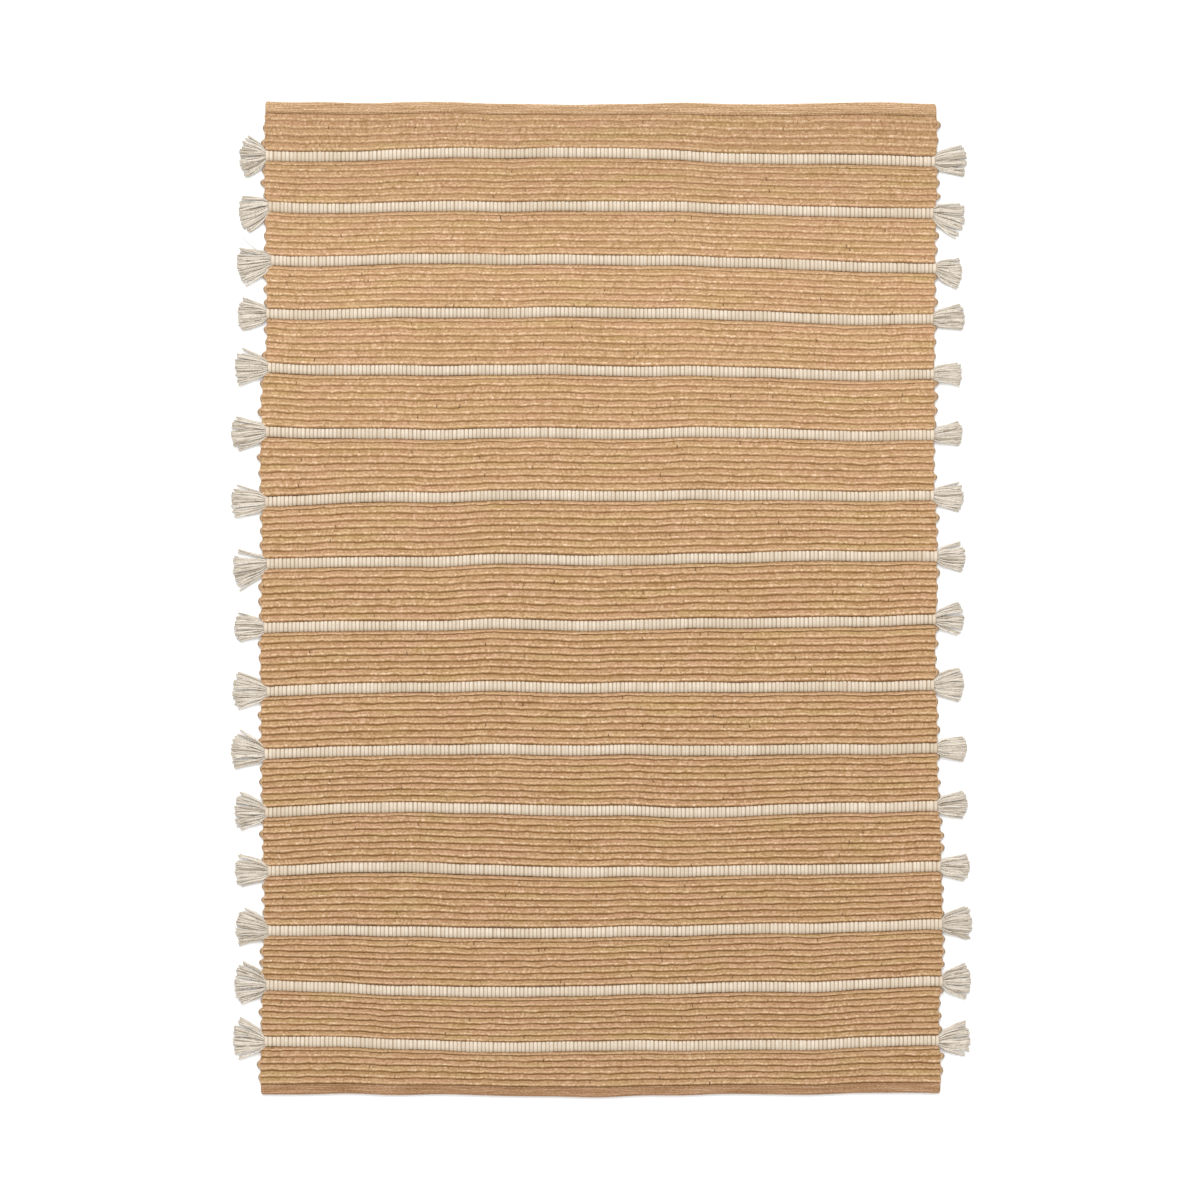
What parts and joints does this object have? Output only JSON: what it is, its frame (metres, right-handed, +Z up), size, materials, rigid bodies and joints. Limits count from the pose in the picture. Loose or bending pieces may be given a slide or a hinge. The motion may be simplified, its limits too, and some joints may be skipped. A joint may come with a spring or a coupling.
{
  "type": "area rug",
  "caption": "Flat-woven rectangular area rug of ribbed tan bands with thick white cords laid between them, whose cut ends stand out as tassels.",
  "frame": {"origin": "centre of the rug's footprint, on the floor that it lies on", "axes": "+X across the rug along the cords, +Y along its length towards the first band, +Z up out of the floor"},
  "size_m": [1.332, 1.8, 0.011],
  "materials": {
    "jute_weft": "matte",
    "cotton_cord": "matte",
    "hem_cloth": "matte",
    "hem_thread": "matte"
  },
  "bodies": {
    "band_01": {"woven_band_01": "jute_weft", "end_hem_top": "hem_cloth", "hem_stitching_top": "hem_thread"},
    "band_02": {"woven_band_02": "jute_weft", "cord_with_tassels_01": "cotton_cord"},
    "band_03": {"woven_band_03": "jute_weft", "cord_with_tassels_02": "cotton_cord"},
    "band_04": {"woven_band_04": "jute_weft", "cord_with_tassels_03": "cotton_cord"},
    "band_05": {"woven_band_05": "jute_weft", "cord_with_tassels_04": "cotton_cord"},
    "band_06": {"woven_band_06": "jute_weft", "cord_with_tassels_05": "cotton_cord"},
    "band_07": {"woven_band_07": "jute_weft", "cord_with_tassels_06": "cotton_cord"},
    "band_08": {"woven_band_08": "jute_weft", "cord_with_tassels_07": "cotton_cord"},
    "band_09": {"woven_band_09": "jute_weft", "cord_with_tassels_08": "cotton_cord"},
    "band_10": {"woven_band_10": "jute_weft", "cord_with_tassels_09": "cotton_cord"},
    "band_11": {"woven_band_11": "jute_weft", "cord_with_tassels_10": "cotton_cord"},
    "band_12": {"woven_band_12": "jute_weft", "cord_with_tassels_11": "cotton_cord"},
    "band_13": {"woven_band_13": "jute_weft", "cord_with_tassels_12": "cotton_cord"},
    "band_14": {"woven_band_14": "jute_weft", "cord_with_tassels_13": "cotton_cord"},
    "band_15": {"woven_band_15": "jute_weft", "cord_with_tassels_14": "cotton_cord"},
    "band_16": {"woven_band_16": "jute_weft", "cord_with_tassels_15": "cotton_cord"},
    "band_17": {"woven_band_17": "jute_weft", "cord_with_tassels_16": "cotton_cord", "end_hem_bottom": "hem_cloth", "hem_stitching_bottom": "hem_thread"}
  },
  "joints": [
    {"name": "bend_at_cord_01", "type": "hinge", "parent": "band_02", "child": "band_01", "pos_m": [0, 0.8025, 0.0055], "axis": [1, 0, 0], "range_deg": [0, 60]},
    {"name": "bend_at_cord_02", "type": "hinge", "parent": "band_03", "child": "band_02", "pos_m": [0, 0.7075, 0.0055], "axis": [1, 0, 0], "range_deg": [0, 58]},
    {"name": "bend_at_cord_03", "type": "hinge", "parent": "band_04", "child": "band_03", "pos_m": [0, 0.61, 0.0055], "axis": [1, 0, 0], "range_deg": [0, 56]},
    {"name": "bend_at_cord_04", "type": "hinge", "parent": "band_05", "child": "band_04", "pos_m": [0, 0.515, 0.0055], "axis": [1, 0, 0], "range_deg": [0, 54]},
    {"name": "bend_at_cord_05", "type": "hinge", "parent": "band_06", "child": "band_05", "pos_m": [0, 0.4125, 0.0055], "axis": [1, 0, 0], "range_deg": [0, 52]},
    {"name": "bend_at_cord_06", "type": "hinge", "parent": "band_07", "child": "band_06", "pos_m": [0, 0.3, 0.0055], "axis": [1, 0, 0], "range_deg": [0, 50]},
    {"name": "bend_at_cord_07", "type": "hinge", "parent": "band_08", "child": "band_07", "pos_m": [0, 0.1845, 0.0055], "axis": [1, 0, 0], "range_deg": [0, 48]},
    {"name": "bend_at_cord_08", "type": "hinge", "parent": "band_09", "child": "band_08", "pos_m": [0, 0.071, 0.0055], "axis": [1, 0, 0], "range_deg": [0, 46]},
    {"name": "bend_at_cord_09", "type": "hinge", "parent": "band_10", "child": "band_09", "pos_m": [0, -0.046, 0.0055], "axis": [1, 0, 0], "range_deg": [0, 44]},
    {"name": "bend_at_cord_10", "type": "hinge", "parent": "band_11", "child": "band_10", "pos_m": [0, -0.1615, 0.0055], "axis": [1, 0, 0], "range_deg": [0, 42]},
    {"name": "bend_at_cord_11", "type": "hinge", "parent": "band_12", "child": "band_11", "pos_m": [0, -0.275, 0.0055], "axis": [1, 0, 0], "range_deg": [0, 40]},
    {"name": "bend_at_cord_12", "type": "hinge", "parent": "band_13", "child": "band_12", "pos_m": [0, -0.3815, 0.0055], "axis": [1, 0, 0], "range_deg": [0, 38]},
    {"name": "bend_at_cord_13", "type": "hinge", "parent": "band_14", "child": "band_13", "pos_m": [0, -0.491, 0.0055], "axis": [1, 0, 0], "range_deg": [0, 36]},
    {"name": "bend_at_cord_14", "type": "hinge", "parent": "band_15", "child": "band_14", "pos_m": [0, -0.5985, 0.0055], "axis": [1, 0, 0], "range_deg": [0, 34]},
    {"name": "bend_at_cord_15", "type": "hinge", "parent": "band_16", "child": "band_15", "pos_m": [0, -0.702, 0.0055], "axis": [1, 0, 0], "range_deg": [0, 32]},
    {"name": "bend_at_cord_16", "type": "hinge", "parent": "band_17", "child": "band_16", "pos_m": [0, -0.8045, 0.0055], "axis": [1, 0, 0], "range_deg": [0, 30]}
  ]
}
